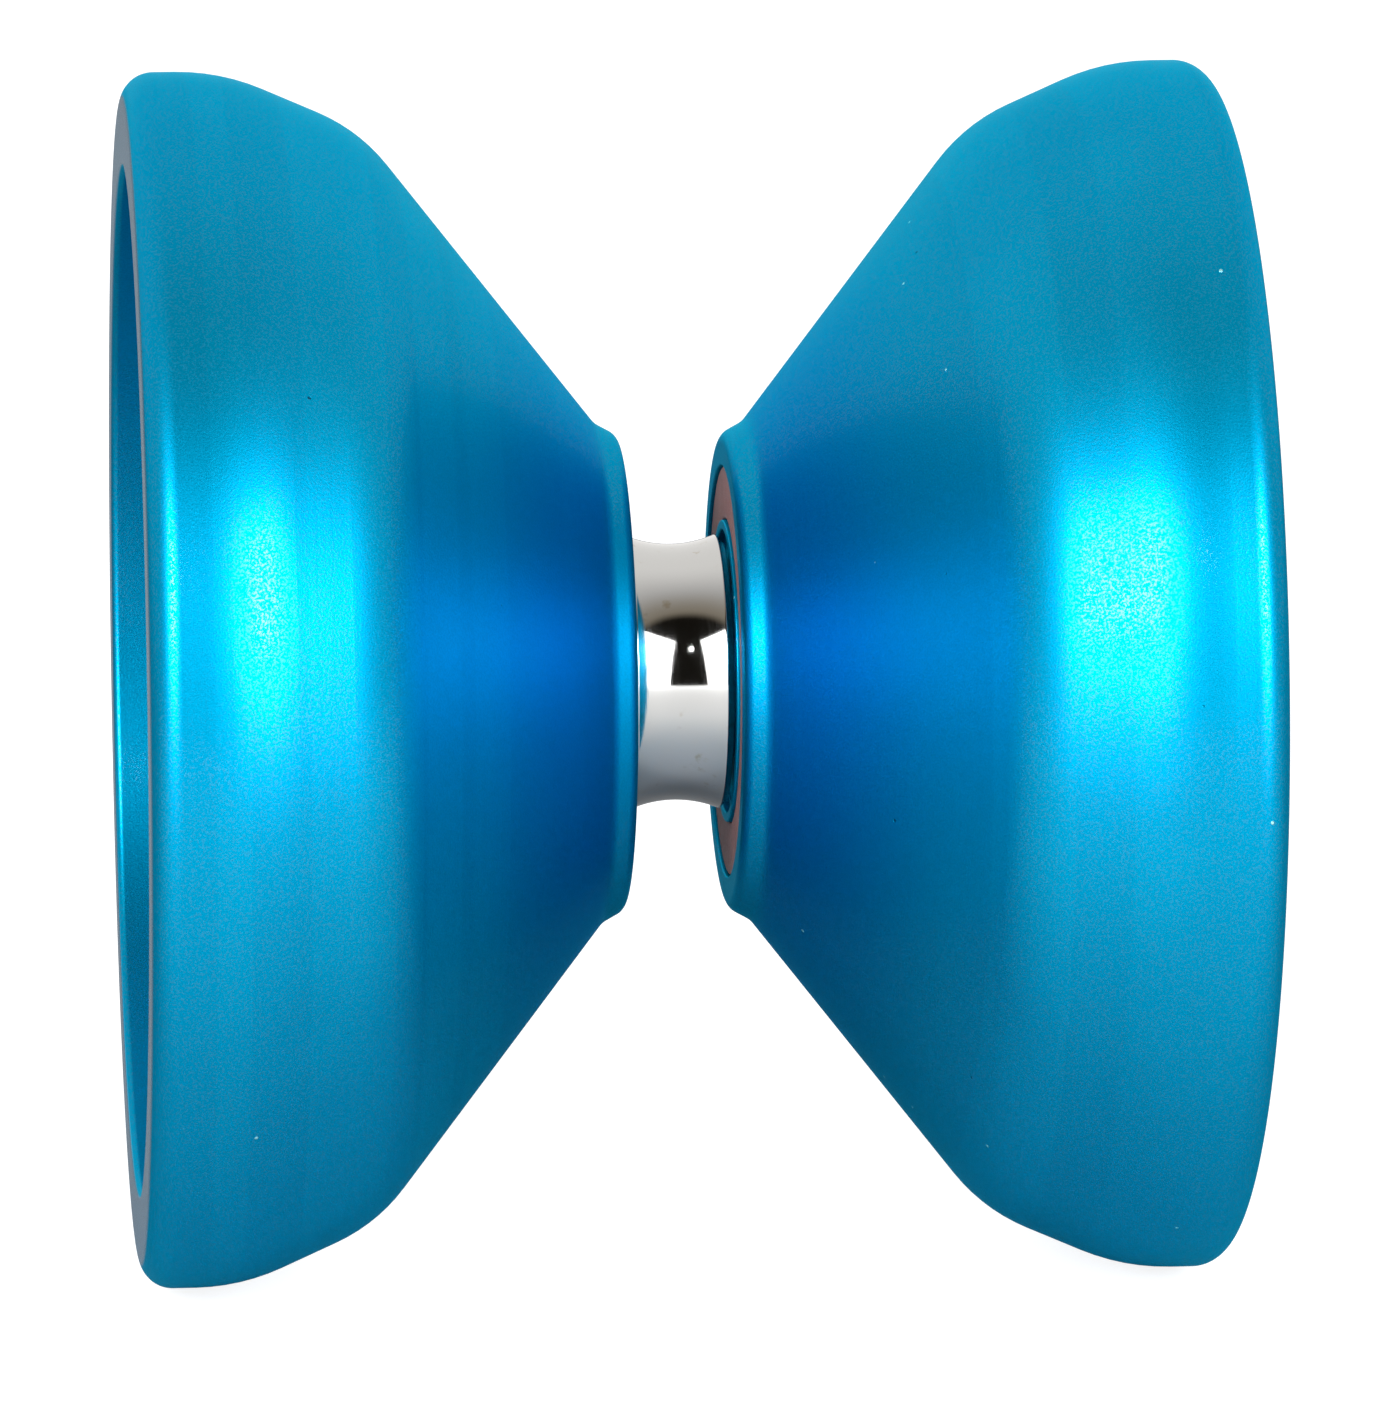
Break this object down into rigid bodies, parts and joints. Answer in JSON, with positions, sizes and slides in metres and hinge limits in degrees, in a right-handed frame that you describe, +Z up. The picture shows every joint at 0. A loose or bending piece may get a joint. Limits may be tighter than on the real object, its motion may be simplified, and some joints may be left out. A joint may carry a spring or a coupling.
{
  "type": "yo-yo",
  "caption": "Flared metal yo-yo: hollow cup-shaped halves on a threaded axle, a waisted ball bearing between them for the string, and a response pad in each hub face.",
  "frame": {"origin": "centre of the ball bearing, on the axle's axis, midway between the two halves", "axes": "+X along the axle from the left half to the right half, +Z up with the yo-yo standing on its two rims; the front view looks along +Y"},
  "size_m": [0.0502, 0.0558, 0.0558],
  "materials": {
    "anodised_aluminium": "satin",
    "polished_steel": "polished",
    "ball_steel": "polished",
    "stamped_steel": "satin",
    "spring_steel": "satin",
    "blackened_steel": "satin",
    "silicone": "matte"
  },
  "bodies": {
    "halves": {"left_half": "anodised_aluminium", "right_half": "anodised_aluminium", "left_response_pad": "silicone", "right_response_pad": "silicone", "axle": "blackened_steel", "bearing_inner_ring": "polished_steel"},
    "outer_ring": {"bearing_outer_ring": "polished_steel", "left_bearing_shield": "stamped_steel", "right_bearing_shield": "stamped_steel", "left_snap_ring": "spring_steel", "right_snap_ring": "spring_steel"},
    "cage": {"bearing_cage": "stamped_steel"},
    "ball_01": {"bearing_ball_01": "ball_steel"},
    "ball_02": {"bearing_ball_02": "ball_steel"},
    "ball_03": {"bearing_ball_03": "ball_steel"},
    "ball_04": {"bearing_ball_04": "ball_steel"},
    "ball_05": {"bearing_ball_05": "ball_steel"},
    "ball_06": {"bearing_ball_06": "ball_steel"},
    "ball_07": {"bearing_ball_07": "ball_steel"},
    "ball_08": {"bearing_ball_08": "ball_steel"},
    "ball_09": {"bearing_ball_09": "ball_steel"},
    "ball_10": {"bearing_ball_10": "ball_steel"}
  },
  "joints": [
    {"name": "bearing_spin", "type": "hinge", "parent": "halves", "child": "outer_ring", "pos_m": [0, 0, 0], "axis": [1, 0, 0], "continuous": true},
    {"name": "cage_orbit", "type": "hinge", "parent": "halves", "child": "cage", "pos_m": [0, 0, 0], "axis": [1, 0, 0], "continuous": true},
    {"name": "ball_01_roll", "type": "hinge", "parent": "cage", "child": "ball_01", "pos_m": [0, 0, 0.00476], "axis": [1, 0, 0], "continuous": true},
    {"name": "ball_02_roll", "type": "hinge", "parent": "cage", "child": "ball_02", "pos_m": [0, -0.0028, 0.00385], "axis": [1, 0, 0], "continuous": true},
    {"name": "ball_03_roll", "type": "hinge", "parent": "cage", "child": "ball_03", "pos_m": [0, -0.00453, 0.00147], "axis": [1, 0, 0], "continuous": true},
    {"name": "ball_04_roll", "type": "hinge", "parent": "cage", "child": "ball_04", "pos_m": [0, -0.00453, -0.00147], "axis": [1, 0, 0], "continuous": true},
    {"name": "ball_05_roll", "type": "hinge", "parent": "cage", "child": "ball_05", "pos_m": [0, -0.0028, -0.00385], "axis": [1, 0, 0], "continuous": true},
    {"name": "ball_06_roll", "type": "hinge", "parent": "cage", "child": "ball_06", "pos_m": [0, 0, -0.00476], "axis": [1, 0, 0], "continuous": true},
    {"name": "ball_07_roll", "type": "hinge", "parent": "cage", "child": "ball_07", "pos_m": [0, 0.0028, -0.00385], "axis": [1, 0, 0], "continuous": true},
    {"name": "ball_08_roll", "type": "hinge", "parent": "cage", "child": "ball_08", "pos_m": [0, 0.00453, -0.00147], "axis": [1, 0, 0], "continuous": true},
    {"name": "ball_09_roll", "type": "hinge", "parent": "cage", "child": "ball_09", "pos_m": [0, 0.00453, 0.00147], "axis": [1, 0, 0], "continuous": true},
    {"name": "ball_10_roll", "type": "hinge", "parent": "cage", "child": "ball_10", "pos_m": [0, 0.0028, 0.00385], "axis": [1, 0, 0], "continuous": true}
  ],
  "couplings": [
    {"joint": "cage_orbit", "follows": "bearing_spin", "ratio": 0.58333},
    {"joint": "ball_01_roll", "follows": "bearing_spin", "ratio": 2.9167},
    {"joint": "ball_02_roll", "follows": "bearing_spin", "ratio": 2.9167},
    {"joint": "ball_03_roll", "follows": "bearing_spin", "ratio": 2.9167},
    {"joint": "ball_04_roll", "follows": "bearing_spin", "ratio": 2.9167},
    {"joint": "ball_05_roll", "follows": "bearing_spin", "ratio": 2.9167},
    {"joint": "ball_06_roll", "follows": "bearing_spin", "ratio": 2.9167},
    {"joint": "ball_07_roll", "follows": "bearing_spin", "ratio": 2.9167},
    {"joint": "ball_08_roll", "follows": "bearing_spin", "ratio": 2.9167},
    {"joint": "ball_09_roll", "follows": "bearing_spin", "ratio": 2.9167},
    {"joint": "ball_10_roll", "follows": "bearing_spin", "ratio": 2.9167}
  ]
}
